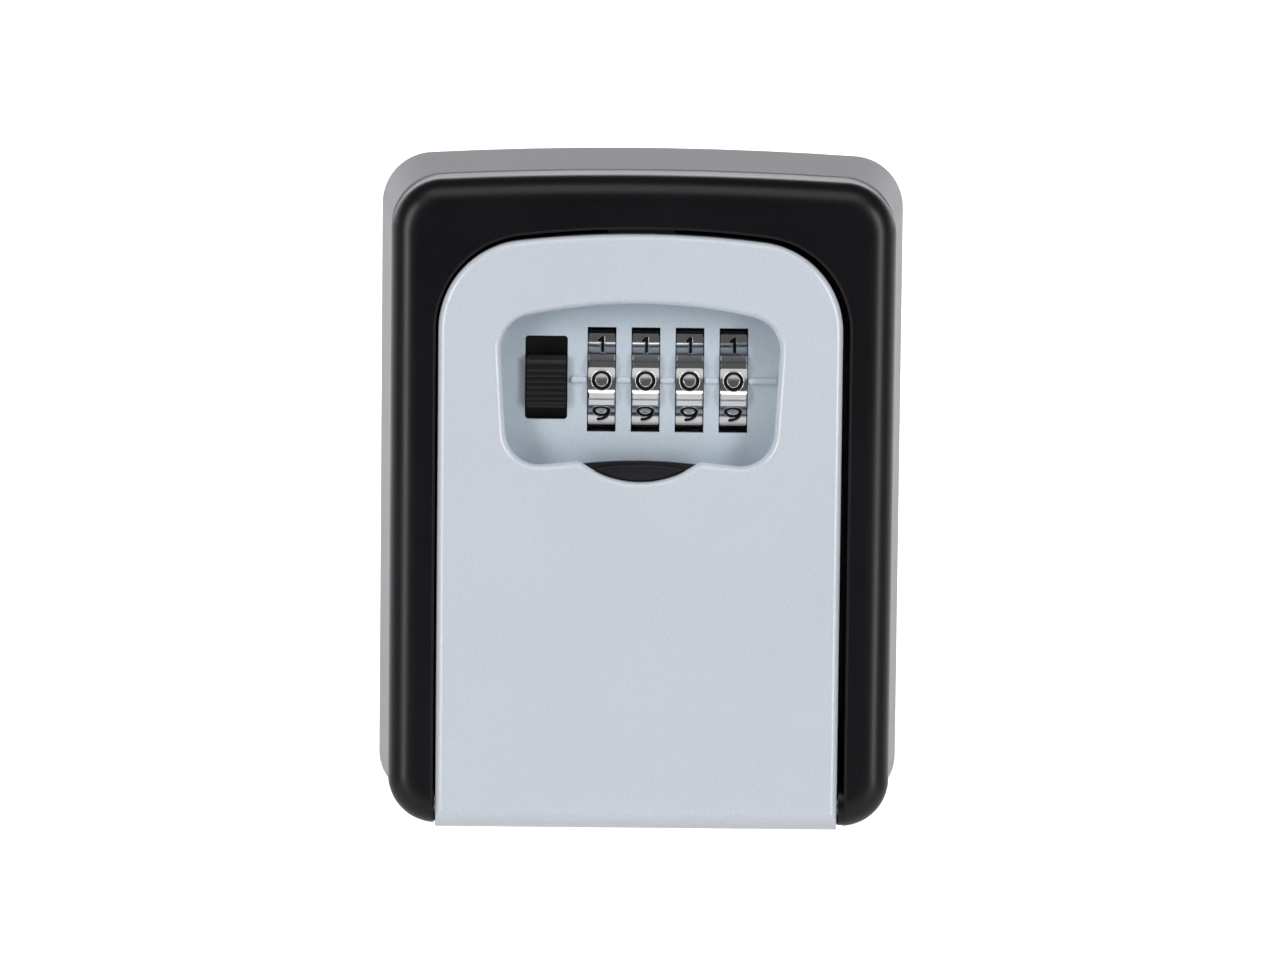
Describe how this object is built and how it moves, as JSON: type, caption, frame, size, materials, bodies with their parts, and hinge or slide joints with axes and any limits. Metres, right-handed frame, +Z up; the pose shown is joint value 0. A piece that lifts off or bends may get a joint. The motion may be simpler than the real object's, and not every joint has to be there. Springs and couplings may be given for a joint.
{
  "type": "key lock box",
  "caption": "Wall-mounted key lock box with a drop-down door, rotating code dials, a slide release and a weather shutter.",
  "frame": {"origin": "centre of the back face, on the wall, at the middle of the wall screw pattern", "axes": "+X to the right as seen from the front, +Y into the wall, +Z up; the front faces -Y"},
  "size_m": [0.095, 0.04, 0.12],
  "materials": {
    "shell_paint": "fine-textured light grey powder coat",
    "door_paint": "fine-textured light grey powder coat",
    "plate_paint": "satin bluish grey paint",
    "bezel_black": "satin black moulding",
    "slider_black": "satin black moulding, fine ribs",
    "shutter_black": "gloss black moulding",
    "dial_chrome": "bright chrome",
    "works_steel": "zinc-plated steel",
    "screw_steel": "plated steel",
    "frame_alloy": "die cast, as cast",
    "cover_black": "matt black moulding",
    "sleeve_brass": "turned brass",
    "lever_grey": "satin grey moulding"
  },
  "bodies": {
    "case": {"rear_housing": "shell_paint", "front_bezel": "bezel_black", "bezel_screws": "screw_steel", "strike_plate": "works_steel", "strike_screws": "screw_steel", "hinge_pin": "works_steel"},
    "door": {"door_panel": "door_paint", "dial_plate": "plate_paint", "lock_frame": "frame_alloy", "frame_screws": "screw_steel", "inner_cover": "cover_black", "cover_screws": "screw_steel", "detent_spring": "works_steel", "latch_spring": "works_steel"},
    "release": {"latch_slide": "works_steel", "release_button": "slider_black", "button_screw": "screw_steel"},
    "shutter": {"shutter": "shutter_black"},
    "shaft": {"dial_shaft": "works_steel", "shaft_clips": "works_steel"},
    "reset": {"reset_lever": "lever_grey"},
    "dial_1": {"dial_1": "dial_chrome"},
    "sleeve_1": {"code_sleeve_1": "sleeve_brass"},
    "dial_2": {"dial_2": "dial_chrome"},
    "sleeve_2": {"code_sleeve_2": "sleeve_brass"},
    "dial_3": {"dial_3": "dial_chrome"},
    "sleeve_3": {"code_sleeve_3": "sleeve_brass"},
    "dial_4": {"dial_4": "dial_chrome"},
    "sleeve_4": {"code_sleeve_4": "sleeve_brass"}
  },
  "joints": [
    {"name": "door_hinge", "type": "hinge", "parent": "case", "child": "door", "pos_m": [0, -0.0358, -0.0553], "axis": [1, 0, 0], "range_deg": [0, 100]},
    {"name": "release_slide", "type": "slide", "parent": "door", "child": "release", "axis": [0, 0, -1], "range_m": [0, 0.002], "stiffness_N_per_m": 250, "springref_m": -0.004, "deforming": ["latch_spring"]},
    {"name": "shutter_slide", "type": "slide", "parent": "door", "child": "shutter", "axis": [0, 0, 1], "range_m": [0, 0.028]},
    {"name": "reset_lever_turn", "type": "hinge", "parent": "door", "child": "reset", "pos_m": [0.0224, -0.0125, 0.0229], "axis": [0, -1, 0], "range_deg": [0, 40]},
    {"name": "shaft_shift", "type": "slide", "parent": "door", "child": "shaft", "axis": [1, 0, 0], "range_m": [0, 0.0016]},
    {"name": "dial_1_spin", "type": "hinge", "parent": "door", "child": "dial_1", "pos_m": [-0.00722, -0.0255, 0.0204], "axis": [1, 0, 0], "continuous": true},
    {"name": "dial_2_spin", "type": "hinge", "parent": "door", "child": "dial_2", "pos_m": [0.00056, -0.0255, 0.0204], "axis": [1, 0, 0], "continuous": true},
    {"name": "dial_3_spin", "type": "hinge", "parent": "door", "child": "dial_3", "pos_m": [0.00834, -0.0255, 0.0204], "axis": [1, 0, 0], "continuous": true},
    {"name": "dial_4_spin", "type": "hinge", "parent": "door", "child": "dial_4", "pos_m": [0.01612, -0.0255, 0.0204], "axis": [1, 0, 0], "continuous": true},
    {"name": "sleeve_1_spin", "type": "hinge", "parent": "shaft", "child": "sleeve_1", "pos_m": [-0.00722, -0.0255, 0.0204], "axis": [1, 0, 0], "continuous": true},
    {"name": "sleeve_2_spin", "type": "hinge", "parent": "shaft", "child": "sleeve_2", "pos_m": [0.00056, -0.0255, 0.0204], "axis": [1, 0, 0], "continuous": true},
    {"name": "sleeve_3_spin", "type": "hinge", "parent": "shaft", "child": "sleeve_3", "pos_m": [0.00834, -0.0255, 0.0204], "axis": [1, 0, 0], "continuous": true},
    {"name": "sleeve_4_spin", "type": "hinge", "parent": "shaft", "child": "sleeve_4", "pos_m": [0.01612, -0.0255, 0.0204], "axis": [1, 0, 0], "continuous": true}
  ],
  "couplings": [
    {"joint": "reset_lever_turn", "follows": "shaft_shift", "rad_per_m": 436.33},
    {"joint": "sleeve_1_spin", "follows": "dial_1_spin", "ratio": 1},
    {"joint": "sleeve_2_spin", "follows": "dial_2_spin", "ratio": 1},
    {"joint": "sleeve_3_spin", "follows": "dial_3_spin", "ratio": 1},
    {"joint": "sleeve_4_spin", "follows": "dial_4_spin", "ratio": 1}
  ]
}
